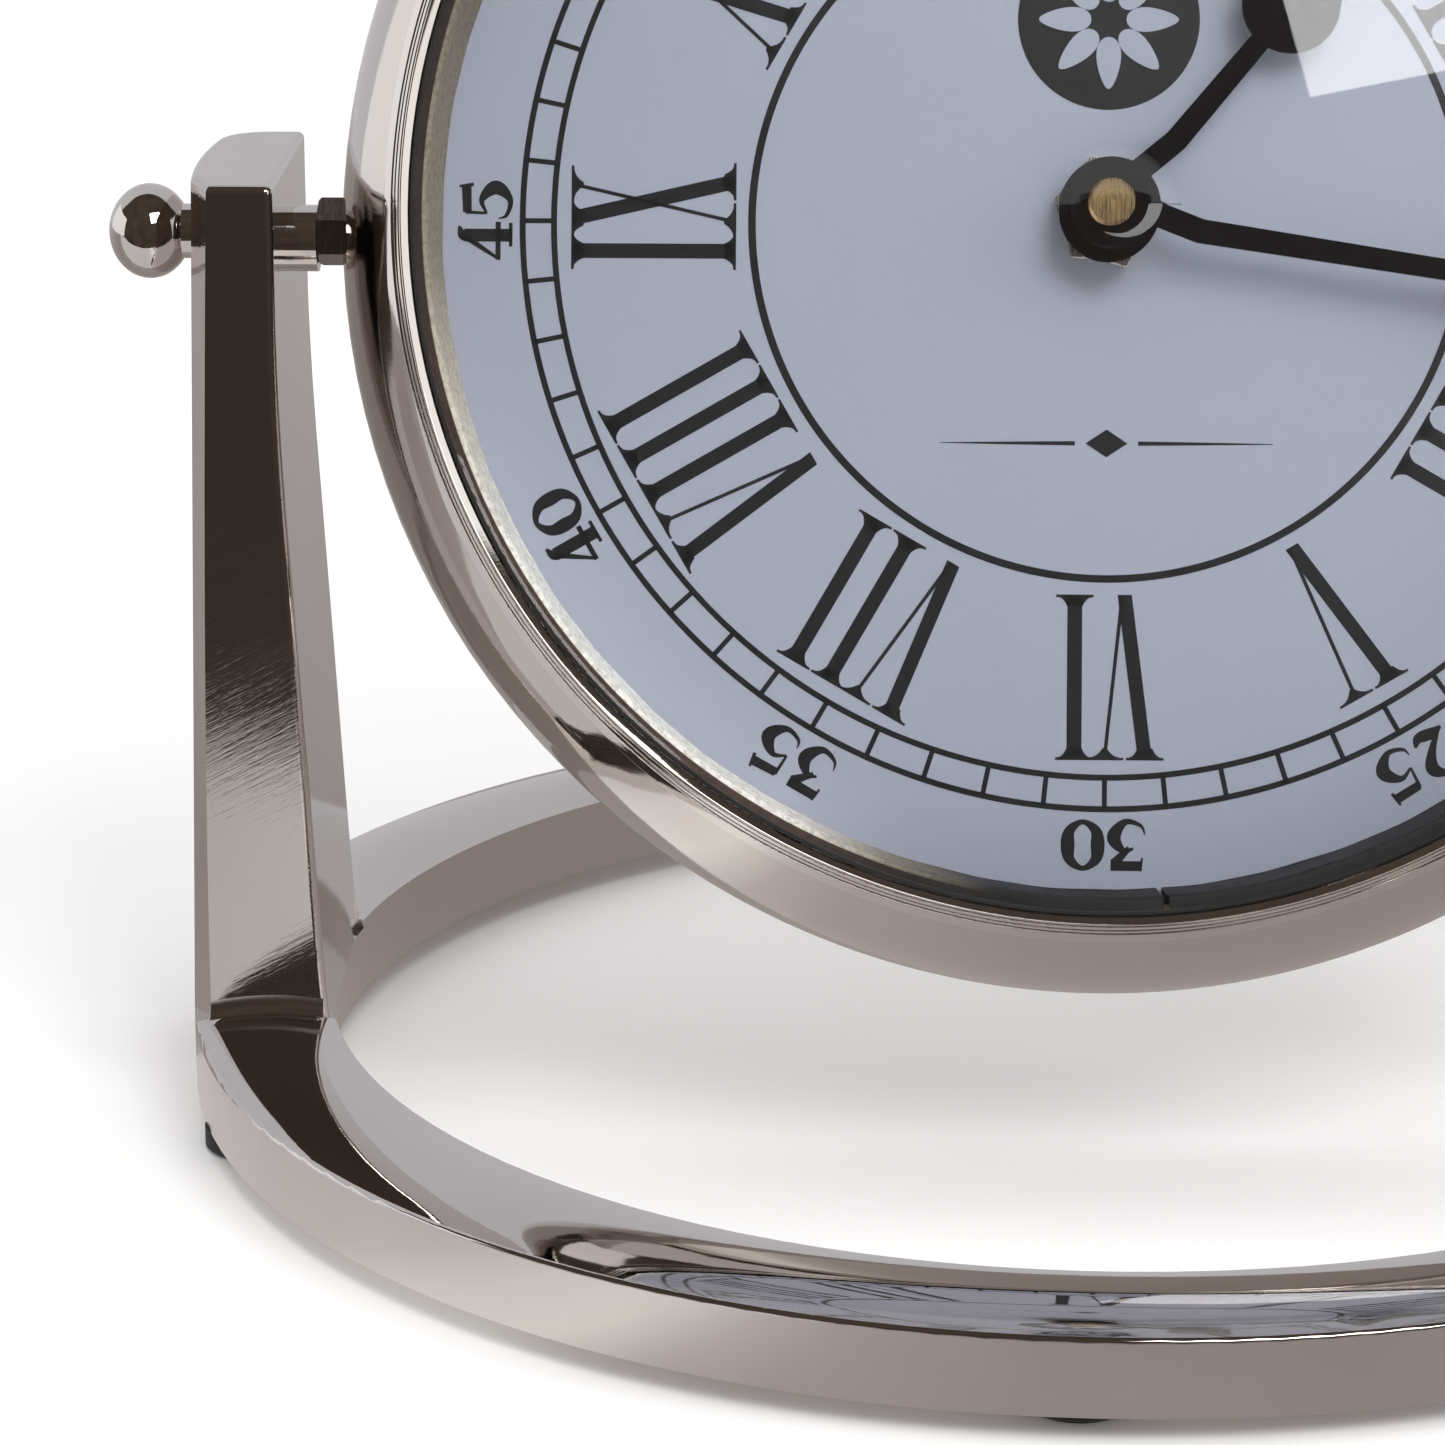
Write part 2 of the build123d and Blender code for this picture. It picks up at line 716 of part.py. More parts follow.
with BuildPart() as rotor:
    rotor_base = chamber_floor + 2 * coil_radius + (stator_thickness - rotor_height) / 2
    with BuildSketch(case_level(rotor_base, across=rotor_place[0], up=rotor_place[1])):
        Circle(rotor_radius)
    extrude(amount=rotor_height)
    with BuildSketch(case_level(chamber_floor, across=rotor_place[0], up=rotor_place[1])):
        Circle(arbor_radius)
    extrude(amount=rotor_base + rotor_height + wheel_step - chamber_floor)
save(rotor, "rotor")

# ---- wheels that carry the hands ---------------------------------------------------------------------
with BuildPart() as hour_wheel:
    with BuildSketch(case_level(hour_wheel_level)):
        Circle(hour_wheel_pitch - wheel_gap)
    extrude(amount=wheel_thickness)
    with BuildSketch(case_level(hour_wheel_level)):
        Circle(hour_tube_radius)
    extrude(amount=hour_hand_level + 2 * hand_thickness - hour_wheel_level)
    with BuildSketch(case_level(hour_wheel_level)):
        Circle(hour_tube_bore)
    extrude(amount=hour_hand_level + 2 * hand_thickness - hour_wheel_level, mode=Mode.SUBTRACT)
save(hour_wheel, "hour_wheel")

with BuildPart() as minute_shaft:
    with BuildSketch(case_level(chamber_floor)):
        Circle(minute_shaft_radius)
    extrude(amount=minute_hand_level + hand_thickness + cap_height / 2 - chamber_floor)
    with BuildSketch(case_level(minute_wheel_level)):
        Circle(cannon_pitch - wheel_gap)
    extrude(amount=wheel_thickness)
    with BuildSketch(case_level(centre_wheel_level)):
        Circle(minute_wheel_pitch - wheel_step)
    extrude(amount=wheel_thickness)
save(minute_shaft, "minute_shaft")

with BuildPart() as minute_wheel:
    across, up = minute_wheel_place
    with BuildSketch(case_level(minute_wheel_level, across=across, up=up)):
        Circle(minute_wheel_pitch - wheel_gap)
    extrude(amount=wheel_thickness)
    with BuildSketch(case_level(hour_wheel_level, across=across, up=up)):
        Circle(minute_pinion_pitch - wheel_gap)
    extrude(amount=wheel_thickness)
    with BuildSketch(case_level(chamber_floor, across=across, up=up)):
        Circle(arbor_radius)
    extrude(amount=hour_wheel_level + wheel_step - chamber_floor)
save(minute_wheel, "minute_wheel")

with BuildPart() as set_knob:
    across, up = knob_place
    knob_front = movement_back - set_knob_gap
    with BuildSketch(case_level(knob_front - set_knob_height, across=across, up=up)):
        Circle(set_knob_radius)
        with PolarLocations(set_knob_radius, set_knob_ribs):
            Circle(set_knob_radius / set_knob_ribs, mode=Mode.SUBTRACT)
    extrude(amount=set_knob_height)
    with BuildSketch(case_level(knob_front, across=across, up=up)):
        Circle(arbor_radius)
    extrude(amount=minute_wheel_level + wheel_step - knob_front)
    with BuildSketch(case_level(minute_wheel_level, across=across, up=up)):
        Circle(knob_pinion_radius - wheel_gap)
    extrude(amount=wheel_thickness)
save(set_knob, "set_knob")


# ---- hands ---------------------------------------------------------------------------------------------
def make_hand(name, level, angle, hub_radius, bore_radius, lobe_place, lobe_radius, length):
    """Flat spade hand: round hub, tapering bar, round lobe and a pointed tip."""
    with BuildPart() as hand:
        with BuildSketch(case_level(level, clock_angle=angle)):
            Circle(hub_radius)
            Polygon(
                (-hand_root_width / 2, 0),
                (hand_root_width / 2, 0),
                (hand_tip_width / 2, lobe_place),
                (-hand_tip_width / 2, lobe_place),
                align=None,
            )
            with Locations((0, lobe_place)):
                Circle(lobe_radius)
            Polygon(
                (-tip_spread * lobe_radius, lobe_place + tip_rise * lobe_radius),
                (tip_spread * lobe_radius, lobe_place + tip_rise * lobe_radius),
                (0, length),
                align=None,
            )
            Circle(bore_radius, mode=Mode.SUBTRACT)
        extrude(amount=hand_thickness)
    save(hand, name)


make_hand(
    "hour_hand",
    hour_hand_level,
    hour_hand_angle,
    hour_hub_radius,
    hour_tube_radius,
    hour_lobe_place,
    hour_lobe_radius,
    hour_hand_length,
)
make_hand(
    "minute_hand",
    minute_hand_level,
    minute_hand_angle,
    minute_hub_radius,
    minute_shaft_radius,
    minute_lobe_place,
    minute_lobe_radius,
    minute_hand_length,
)

with BuildPart() as hand_cap:
    with BuildSketch(case_level(minute_hand_level + hand_thickness)):
        Circle(cap_radius)
    extrude(amount=cap_height)
    chamfer(hand_cap.faces().sort_by(case_axis)[-1].edges(), cap_chamfer)
    with BuildSketch(case_level(minute_hand_level + hand_thickness)):
        Circle(minute_shaft_radius)
    extrude(amount=cap_height / 2, mode=Mode.SUBTRACT)
    with BuildSketch(case_level(minute_hand_level + hand_thickness + cap_height)):
        Circle(cap_pip)
    extrude(amount=-cap_pip, mode=Mode.SUBTRACT)
save(hand_cap, "hand_cap")
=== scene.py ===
"""Mantel clock: a polished drum case that tilts between two uprights on a ring base."""

import json
from math import cos, hypot, pi, radians, sin

import bmesh
import bpy
from mathutils import Matrix, Vector
from mathutils.bvhtree import BVHTree


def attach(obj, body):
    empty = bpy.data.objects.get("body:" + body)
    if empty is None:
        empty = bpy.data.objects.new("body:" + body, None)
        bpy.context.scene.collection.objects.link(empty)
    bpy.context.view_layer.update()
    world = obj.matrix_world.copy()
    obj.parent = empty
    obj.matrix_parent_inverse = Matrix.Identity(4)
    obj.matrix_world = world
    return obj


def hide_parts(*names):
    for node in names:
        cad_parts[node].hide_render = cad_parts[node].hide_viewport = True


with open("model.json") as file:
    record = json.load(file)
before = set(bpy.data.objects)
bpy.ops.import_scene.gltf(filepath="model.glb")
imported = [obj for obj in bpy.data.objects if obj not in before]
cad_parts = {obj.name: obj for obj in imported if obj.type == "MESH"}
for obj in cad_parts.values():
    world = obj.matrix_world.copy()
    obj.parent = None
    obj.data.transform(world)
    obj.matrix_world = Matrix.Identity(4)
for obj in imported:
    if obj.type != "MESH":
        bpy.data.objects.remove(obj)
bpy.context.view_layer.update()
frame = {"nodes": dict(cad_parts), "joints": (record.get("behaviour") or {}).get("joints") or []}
nodes = frame["nodes"]
scene = bpy.context.scene
MM = 0.001

# ---- places read from the frame ------------------------------------------------
joint = {j["name"]: j for j in frame["joints"]}
pivot = Vector(joint["case_tilt"]["pos_m"])
dial_normal = -Vector(joint["minute_spin"]["axis"])
dial_up = dial_normal.cross(Vector((1, 0, 0)))
case_space = Matrix((
    (1, dial_up.x, dial_normal.x, pivot.x),
    (0, dial_up.y, dial_normal.y, pivot.y),
    (0, dial_up.z, dial_normal.z, pivot.z),
    (0, 0, 0, 1),
))


def case_extent(node):
    """(lowest, highest) corner of a CAD node in the case's own space.

    That space runs across, up the dial and out of the dial, from the pivot."""
    inverse = case_space.inverted()
    corners = [inverse @ v.co for v in nodes[node].data.vertices]
    low = Vector([min(c[i] for c in corners) for i in range(3)])
    high = Vector([max(c[i] for c in corners) for i in range(3)])
    return low, high


bezel_low, bezel_high = case_extent("bezel")
rehaut_low, rehaut_high = case_extent("reflector_ring")
dial_high = case_extent("dial")[1]
gasket_low, gasket_high = case_extent("glass_gasket")


# ---- making meshes ---------------------------------------------------------------
def piece(name, mesh, body, material, stands_for=()):
    """Puts a finished mesh in the scene, riding on its body and standing for its CAD nodes."""
    made = bpy.data.objects.new(name, mesh)
    scene.collection.objects.link(made)
    mesh.materials.append(material)
    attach(made, body)
    if stands_for:
        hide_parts(*stands_for)
    return made


def rounded(corners, steps=5):
    """A closed outline from (x, y, radius) corners, each one an arc, smaller where a side is short."""
    outline = []
    count = len(corners)
    for i, (x, y, radius) in enumerate(corners):
        here = Vector((x, y))
        if radius == 0:
            outline.append(here)
            continue
        before = Vector(corners[i - 1][:2]) - here
        after = Vector(corners[(i + 1) % count][:2]) - here
        bend = before.angle(after)
        tangent = radius / max(1e-6, abs(sin(bend / 2) / cos(bend / 2)))
        reach = min(tangent, before.length * 0.45, after.length * 0.45)
        start = here + before.normalized() * reach
        end = here + after.normalized() * reach
        for k in range(steps + 1):
            t = k / steps
            outline.append(start * (1 - t) ** 2 + here * 2 * t * (1 - t) + end * t ** 2)
    return outline


def lathe(outline, space, turns=256, first=0.0, last=360.0, ripple=None):
    """Turns a closed outline of (radius, height) in millimetres about a space's Z axis.

    Angles are in degrees clockwise from twelve. ripple may move each point of the outline."""
    bm = bmesh.new()
    full = last - first >= 360.0
    rows = turns if full else turns + 1
    grid = []
    for i in range(rows):
        angle = radians(first + (last - first) * i / turns)
        row = []
        for r, z in outline:
            if ripple:
                r, z = ripple(angle, r, z)
            spot = Vector((r * sin(angle) * MM, r * cos(angle) * MM, z * MM))
            row.append(bm.verts.new(space @ spot))
        grid.append(row)
    count = len(outline)
    for i in range(turns):
        here, there = grid[i], grid[(i + 1) % rows]
        for k in range(count):
            bm.faces.new((here[k], here[(k + 1) % count], there[(k + 1) % count], there[k]))
    if not full:
        bm.faces.new(grid[0][::-1])
        bm.faces.new(grid[-1])
    return finished(bm)


def finished(bm, sharp=32.0):
    """A smooth-shaded mesh from a bmesh, creased where faces meet at more than an angle."""
    bmesh.ops.recalc_face_normals(bm, faces=bm.faces)
    mesh = bpy.data.meshes.new("made")
    bm.to_mesh(mesh)
    bm.free()
    for face in mesh.polygons:
        face.use_smooth = True
    mesh.set_sharp_from_angle(angle=radians(sharp))
    return mesh


def slab(bm, outline, low, high, space):
    """Adds a flat plate with that outline, in millimetres, between two heights in a space."""
    bottom = [bm.verts.new(space @ Vector((x * MM, y * MM, low * MM))) for x, y in outline]
    top = [bm.verts.new(space @ Vector((x * MM, y * MM, high * MM))) for x, y in outline]
    count = len(outline)
    bm.faces.new(bottom[::-1])
    bm.faces.new(top)
    for i in range(count):
        j = (i + 1) % count
        bm.faces.new((bottom[i], bottom[j], top[j], top[i]))


def ribbon(bm, points, low, high, place, closed=False, steps=6):
    """Adds a pen stroke as a plate along a smooth curve through (x, y, width) points.

    place turns a point of the stroke into one of the dial."""
    count = len(points)
    line = []
    spans = count if closed else count - 1
    for i in range(spans):
        near = [(i + k) % count if closed else min(max(i + k, 0), count - 1) for k in (-1, 0, 1, 2)]
        for k in range(steps if spans > 1 else 1):
            t = k / steps
            line.append([
                0.5 * (2 * b + (c - a) * t + (2 * a - 5 * b + 4 * c - d) * t ** 2
                       + (3 * b - a - 3 * c + d) * t ** 3)
                for a, b, c, d in zip(*[points[k] for k in near])
            ])
    if not closed:
        line.append(list(points[-1]))
    total = len(line)
    edges = []
    for i, (x, y, width) in enumerate(line):
        ahead = line[(i + 1) % total] if closed else line[min(i + 1, total - 1)]
        behind = line[i - 1] if closed or i else line[0]
        way = Vector((ahead[0] - behind[0], ahead[1] - behind[1])).normalized()
        side = Vector((-way.y, way.x)) * width / 2
        rails = []
        for offset in (side, -side):
            flat = place(x + offset.x, y + offset.y)
            for z in (low, high):
                rails.append(bm.verts.new(case_space @ Vector((flat[0] * MM, flat[1] * MM, z * MM))))
        edges.append(rails)
    for i in range(total if closed else total - 1):
        a, b = edges[i], edges[(i + 1) % total]
        for j, k in ((1, 3), (3, 2), (2, 0), (0, 1)):
            bm.faces.new((a[j], b[j], b[k], a[k]))
    if not closed:
        bm.faces.new((edges[0][0], edges[0][1], edges[0][3], edges[0][2]))
        bm.faces.new((edges[-1][2], edges[-1][3], edges[-1][1], edges[-1][0]))


# ---- making materials ----------------------------------------------------------------
def linear(code):
    """Linear colour of an sRGB hex code."""
    parts = [int(code[i:i + 2], 16) / 255 for i in (1, 3, 5)]
    return [c / 12.92 if c <= 0.04045 else ((c + 0.055) / 1.055) ** 2.4 for c in parts] + [1.0]


def add(tree, kind, inputs=None, **settings):
    """Adds a node with its own settings, and its inputs set to values or linked to other nodes' outputs."""
    made = tree.nodes.new("ShaderNode" + kind)
    for name, value in settings.items():
        setattr(made, name, value)
    for name, value in (inputs or {}).items():
        if isinstance(value, bpy.types.NodeSocket):
            tree.links.new(value, made.inputs[name])
        else:
            made.inputs[name].default_value = value
    return made


haze_mm = 22.0              # width of the hazy patches that a buffing wheel leaves
orange_peel_mm = 6.0        # width of the slow unevenness under the plate
relief_mm = 0.05
satin_facing = {"Z": (0.35, 0.15), "Y": (0.9, 0.995)}   # a normal's share of the axis: polished, brushed


def material(name):
    """An empty material: its node tree and output node."""
    made = bpy.data.materials.new(name)
    made.use_nodes = True
    tree = made.node_tree
    tree.nodes.clear()
    return made, tree, tree.nodes.new("ShaderNodeOutputMaterial")


def metal(name, light, dark, smooth, rough, grain, turn=(0, 0, 0), scratch=0.06, satin=None):
    """Plated or bare metal, buffed by hand: a mirror with hazy patches and fine scratches.

    grain is the size of a scratch along three axes in millimetres, after the turn in degrees. It is drawn
    about ten times as wide as a real buffing line, which would be too fine to show. satin is (axis,
    roughness) for the walls that were only brushed: those that face away from Z, or along Y."""
    made, tree, out = material(name)
    where = add(tree, "TexCoord").outputs["Object"]
    haze = add(tree, "TexNoise", {
        "Vector": where, "Scale": 1 / (haze_mm * MM), "Detail": 4.0, "Roughness": 0.6,
    })
    along = add(tree, "Mapping", {
        "Vector": where,
        "Rotation": [radians(a) for a in turn],
        "Scale": [g * MM for g in grain],
    }, vector_type="TEXTURE")
    lines = add(tree, "TexNoise", {
        "Vector": along.outputs["Vector"], "Scale": 1.0, "Detail": 3.0, "Roughness": 0.7,
    })
    peel = add(tree, "TexNoise", {"Vector": where, "Scale": 1 / (orange_peel_mm * MM), "Detail": 1.0})
    wear_and_painted_light = add(tree, "Math", {0: haze.outputs["Fac"], 1: lines.outputs["Fac"]}, operation="MULTIPLY")
    shine = add(tree, "MapRange", {
        "Value": wear_and_painted_light.outputs["Value"],
        "From Min": 0.14, "From Max": 0.38, "To Min": smooth, "To Max": rough,
    })
    gloss = shine.outputs["Result"]
    if satin:
        axis, satin_rough = satin
        polished_at, brushed_at = satin_facing[axis]
        normal = add(tree, "NewGeometry").outputs["Normal"]
        facing = add(tree, "SeparateXYZ", {"Vector": normal}).outputs[axis]
        brushed = add(tree, "MapRange", {
            "Value": add(tree, "Math", {0: facing}, operation="ABSOLUTE").outputs["Value"],
            "From Min": polished_at, "From Max": brushed_at, "To Min": 0.0, "To Max": satin_rough,
        })
        both = add(tree, "Math", {0: gloss, 1: brushed.outputs["Result"]}, operation="ADD")
        gloss = both.outputs["Value"]
    tint = add(tree, "MixRGB", {
        "Fac": haze.outputs["Fac"], "Color1": linear(light), "Color2": linear(dark),
    })
    uneven = add(tree, "Bump", {
        "Height": peel.outputs["Fac"], "Strength": 0.05, "Distance": relief_mm * MM,
    })
    scored = add(tree, "Bump", {
        "Height": lines.outputs["Fac"], "Strength": scratch, "Distance": relief_mm * MM,
        "Normal": uneven.outputs["Normal"],
    })
    shader = add(tree, "BsdfPrincipled", {
        "Base Color": tint.outputs["Color"],
        "Metallic": 1.0,
        "Roughness": gloss,
        "Normal": scored.outputs["Normal"],
    })
    tree.links.new(shader.outputs["BSDF"], out.inputs["Surface"])
    return made


def plain(name, light, dark, grit_mm, smooth, rough, bump=0.1, **sockets):
    """A coated, moulded or printed surface: colour and gloss vary a little with a grit of a real size."""
    made, tree, out = material(name)
    where = add(tree, "TexCoord").outputs["Object"]
    grit = add(tree, "TexNoise", {
        "Vector": where, "Scale": 1 / (grit_mm * MM), "Detail": 3.0, "Roughness": 0.6,
    })
    tint = add(tree, "MixRGB", {
        "Fac": grit.outputs["Fac"], "Color1": linear(light), "Color2": linear(dark),
    })
    shine = add(tree, "MapRange", {"Value": grit.outputs["Fac"], "To Min": smooth, "To Max": rough})
    rise = add(tree, "Bump", {"Height": grit.outputs["Fac"], "Strength": bump, "Distance": 0.1 * MM})
    shader = add(tree, "BsdfPrincipled", {
        "Base Color": tint.outputs["Color"],
        "Roughness": shine.outputs["Result"],
        "Normal": rise.outputs["Normal"],
        **{key.replace("_", " ").title().replace("Ior", "IOR"): value for key, value in sockets.items()},
    })
    tree.links.new(shader.outputs["BSDF"], out.inputs["Surface"])
    return made


# Nickel plate over a cast ring: its top is buffed to a dark mirror and its walls are only brushed.
ring_nickel = metal(
    "polished_nickel_ring", "#d8d3d0", "#cec8c4", 0.015, 0.05, (9.0, 9.0, 0.25), scratch=0.03,
    satin=("Z", 0.2))
# The same plate over cast bars that were ground across at a slant: fine scratches break up the mirror.
upright_nickel = metal(
    "brushed_nickel_upright", "#d6d1cd", "#cbc5c0", 0.02, 0.07, (7.0, 7.0, 0.45), turn=(0, -28, 0),
    scratch=0.3, satin=("Y", 0.04))
# Nickel plate over spun sheet: a soft mirror, with faint lines round the drum.
case_nickel = metal(
    "polished_nickel_case", "#dad5d1", "#cfc8c3", 0.05, 0.13, (12.0, 12.0, 0.3), scratch=0.05)
# Nickel plate over small turned pieces: the cleanest mirror on the clock.
knob_nickel = metal(
    "polished_nickel_knob", "#dfdad6", "#d5cfca", 0.02, 0.05, (0.4, 4.0, 4.0), scratch=0.02)
# Nickel plate over a turned ring: bright, with the tool's fine lines round it.
bezel_nickel = metal(
    "turned_nickel_bezel", "#e2deda", "#d6d0cb", 0.03, 0.09, (8.0, 8.0, 0.2), scratch=0.06)
# Nickel plate over brushed sheet, left satin: it holds only the soft shape of what it mirrors.
cover_nickel = metal(
    "satin_nickel_cover", "#c9c4be", "#bcb6af", 0.24, 0.34, (0.2, 12.0, 12.0), scratch=0.08)
# Hexagon bar steel, darkened by oil and wear: brown grey and half shiny.
nut_steel = metal(
    "blackened_steel_nut", "#a39690", "#85776f", 0.10, 0.26, (0.3, 2.0, 2.0), scratch=0.12)
# Zinc plated steel: bluish grey and dull.
steel = metal(
    "zinc_plated_steel", "#b9bbbd", "#a4a6a8", 0.2, 0.4, (0.2, 1.5, 1.5), scratch=0.15)
# Nickel plated brass bar, turned and left as it came from the tool: pale and softly shiny.
hex_nickel = metal(
    "nickel_centre_nut", "#dcd8d2", "#c8c3bb", 0.16, 0.32, (0.2, 1.5, 1.5), scratch=0.1)
# Bare turned brass: pale gold, with rings left by the tool.
brass = metal("turned_brass_cap", "#dcc196", "#c9a877", 0.16, 0.34, (0.12, 3.0, 3.0), scratch=0.3)
# Enamelled copper wire, wound close: orange brown, ribbed by its turns.
copper = metal(
    "enamelled_copper_coil", "#b5683a", "#8e4a26", 0.2, 0.4, (0.18, 6.0, 6.0), scratch=0.4)
# Sintered magnet: flat dark grey, with an even grain.
magnet = metal("sintered_magnet", "#77777a", "#5d5d61", 0.35, 0.5, (0.4, 0.4, 0.4), scratch=0.2)
# Moulded black rubber: almost no shine.
rubber = plain("moulded_rubber", "#161616", "#222221", 0.8, 0.55, 0.8, bump=0.3)
# Metallic lacquer sprayed on sheet: a cool even grey with a quiet sheen.
dial_paint = plain(
    "silver_grey_dial_paint", "#abafc0", "#a5a9ba", 0.5, 0.42, 0.5, bump=0.03, specular_ior_level=0.4)
# Pad printed ink: a thin black film, a little shinier than the lacquer.
ink = plain("printed_black_ink", "#17171a", "#1d1d20", 0.3, 0.25, 0.38, bump=0.03)
# Stoved black enamel on stamped brass: deep and glossy.
hand_paint = plain(
    "gloss_black_enamel", "#0b0b0c", "#111112", 0.6, 0.08, 0.16, bump=0.04, coat_weight=0.5)
# Moulded black ABS with a fine spark-eroded grain.
black_plastic = plain("moulded_black_abs", "#1a1a1b", "#242425", 0.4, 0.45, 0.6, bump=0.25)
# Moulded acetal: milky white, slightly waxy.
acetal = plain(
    "white_acetal", "#e4e1d8", "#d6d2c7", 1.0, 0.3, 0.45, bump=0.1, subsurface_weight=0.1)
# Shrunk plastic sleeve: smooth, dark and rather shiny.
battery_sleeve = plain("battery_shrink_sleeve", "#2b2c30", "#35363b", 3.0, 0.2, 0.35, bump=0.05)
# Solder mask on glass fibre: green and half glossy.
board = plain("green_circuit_board", "#1f5a34", "#2a6b40", 1.2, 0.3, 0.5, bump=0.2)


smear_mm = 18.0             # about a fingertip's wipe


def clear_glass():
    """Pressed clear glass, fire polished: nearly no colour and a sharp faint mirror, a little smeared.

    Shadow rays pass it straight, so the lamps light the dial."""
    made, tree, out = material("clear_domed_glass")
    where = add(tree, "TexCoord").outputs["Object"]
    smear = add(tree, "TexNoise", {
        "Vector": where, "Scale": 1 / (smear_mm * MM), "Detail": 5.0, "Roughness": 0.65,
    })
    shine = add(tree, "MapRange", {
        "Value": smear.outputs["Fac"], "From Min": 0.45, "From Max": 0.75, "To Min": 0.0, "To Max": 0.02,
    })
    shader = add(tree, "BsdfPrincipled", {
        "Base Color": linear("#fbfcfc"),
        "Roughness": shine.outputs["Result"],
        "IOR": 1.45,
        "Transmission Weight": 1.0,
    })
    let_through = add(tree, "BsdfTransparent", {"Color": linear("#f6f7f7")})
    lamp_rays = add(tree, "LightPath").outputs["Is Shadow Ray"]
    both = add(tree, "MixShader", {
        "Fac": lamp_rays, 1: shader.outputs["BSDF"], 2: let_through.outputs["BSDF"],
    })
    tree.links.new(both.outputs["Shader"], out.inputs["Surface"])
    return made


glass = clear_glass()


def ramp_of(tree, value, first, last, shades):
    """A colour ramp of (value, sRGB code) stops over a range."""
    share = add(tree, "MapRange", {"Value": value, "From Min": first, "From Max": last})
    ramp = add(tree, "ValToRGB", {"Fac": share.outputs["Result"]})
    stops = ramp.color_ramp.elements
    for i, (spot, code) in enumerate(shades):
        at = (spot - first) / (last - first)
        stop = stops[i] if i < 2 else stops.new(at)
        stop.position = at
        stop.color = linear(code)
    return ramp.outputs["Color"]


def along_axis(tree, axis):
    """How far a point is along a case direction from the pivot, in millimetres."""
    where = add(tree, "TexCoord").outputs["Object"]
    moved = add(tree, "VectorMath", {0: where, 1: pivot}, operation="SUBTRACT")
    share = add(tree, "VectorMath", {0: moved.outputs["Vector"], 1: axis}, operation="DOT_PRODUCT")
    return add(tree, "Math", {0: share.outputs["Value"], 1: 1000.0}, operation="MULTIPLY").outputs["Value"]


dent_mm = 0.8


def hammered_rehaut():
    """Thin brass strip, nickel washed and rolled into a ring: hammered, so speckled and dull.

    Its colour holds a painted highlight, pale at the lower left, painted shade, brown and darker, round the
    rest of the ring, and painted brown shade under its lip."""
    made, tree, out = material("rolled_metal_rehaut")
    where = add(tree, "TexCoord").outputs["Object"]
    across, up = along_axis(tree, Vector((1, 0, 0))), along_axis(tree, dial_up)
    angle = add(tree, "Math", {0: across, 1: up}, operation="ARCTAN2").outputs["Value"]
    dents = add(tree, "TexNoise", {
        "Vector": where, "Scale": 1 / (dent_mm * MM), "Detail": 4.0, "Roughness": 0.65,
    })
    # painted highlight and shade by the angle round the dial: pale cream at the lower left where the key
    # lamp's highlight falls, brown and darker round to the top right
    wear_and_painted_light = ramp_of(tree, angle, -pi, pi, [
        (-pi, "#0a0908"), (radians(-170), "#0f0d0b"), (radians(-161), "#8d8373"),
        (radians(-152), "#fffaf0"), (radians(-120), "#fffdf6"), (radians(-106), "#d8cfbd"),
        (radians(-94), "#9a8f7c"), (radians(-60), "#756a5b"), (radians(60), "#4b4238"),
        (radians(120), "#1c1815"), (pi, "#0a0908"),
    ])
    apart = add(tree, "CombineXYZ", {"X": across, "Y": up})
    radius = add(tree, "VectorMath", {0: apart.outputs["Vector"]}, operation="LENGTH").outputs["Value"]
    lip_shade_radius = dial_high.x / MM - 0.2      # beyond this radius the lip gets painted shade, brown
    inside, outside = lip_shade_radius - 4.0, lip_shade_radius + 2.0
    # painted shade under the bezel's lip: brown from just inside the dial's edge outwards
    lip = ramp_of(tree, radius, inside, outside, [
        (inside, "#ffffff"), (lip_shade_radius, "#ffffff"), (lip_shade_radius + 0.12, "#4a3630"), (outside, "#4a3630")])
    tint = add(tree, "MixRGB", {"Fac": 1.0, "Color1": wear_and_painted_light, "Color2": lip}, blend_type="MULTIPLY")
    spots = add(tree, "MapRange", {"Value": dents.outputs["Fac"], "From Min": 0.45, "From Max": 0.6})
    speckle = add(tree, "MixRGB", {
        "Fac": spots.outputs["Result"], "Color1": tint.outputs["Color"], "Color2": linear("#6b6154"),
    }, blend_type="MULTIPLY")
    shine = add(tree, "MapRange", {"Value": dents.outputs["Fac"], "To Min": 0.5, "To Max": 0.7})
    rise = add(tree, "Bump", {"Height": dents.outputs["Fac"], "Strength": 0.5, "Distance": 0.1 * MM})
    speckled = add(tree, "MixRGB", {
        "Fac": 0.35, "Color1": tint.outputs["Color"], "Color2": speckle.outputs["Color"],
    })
    shader = add(tree, "BsdfPrincipled", {
        "Base Color": speckled.outputs["Color"],
        "Metallic": 0.15,
        "Roughness": shine.outputs["Result"],
        "Normal": rise.outputs["Normal"],
    })
    tree.links.new(shader.outputs["BSDF"], out.inputs["Surface"])
    return made


rehaut_metal = hammered_rehaut()

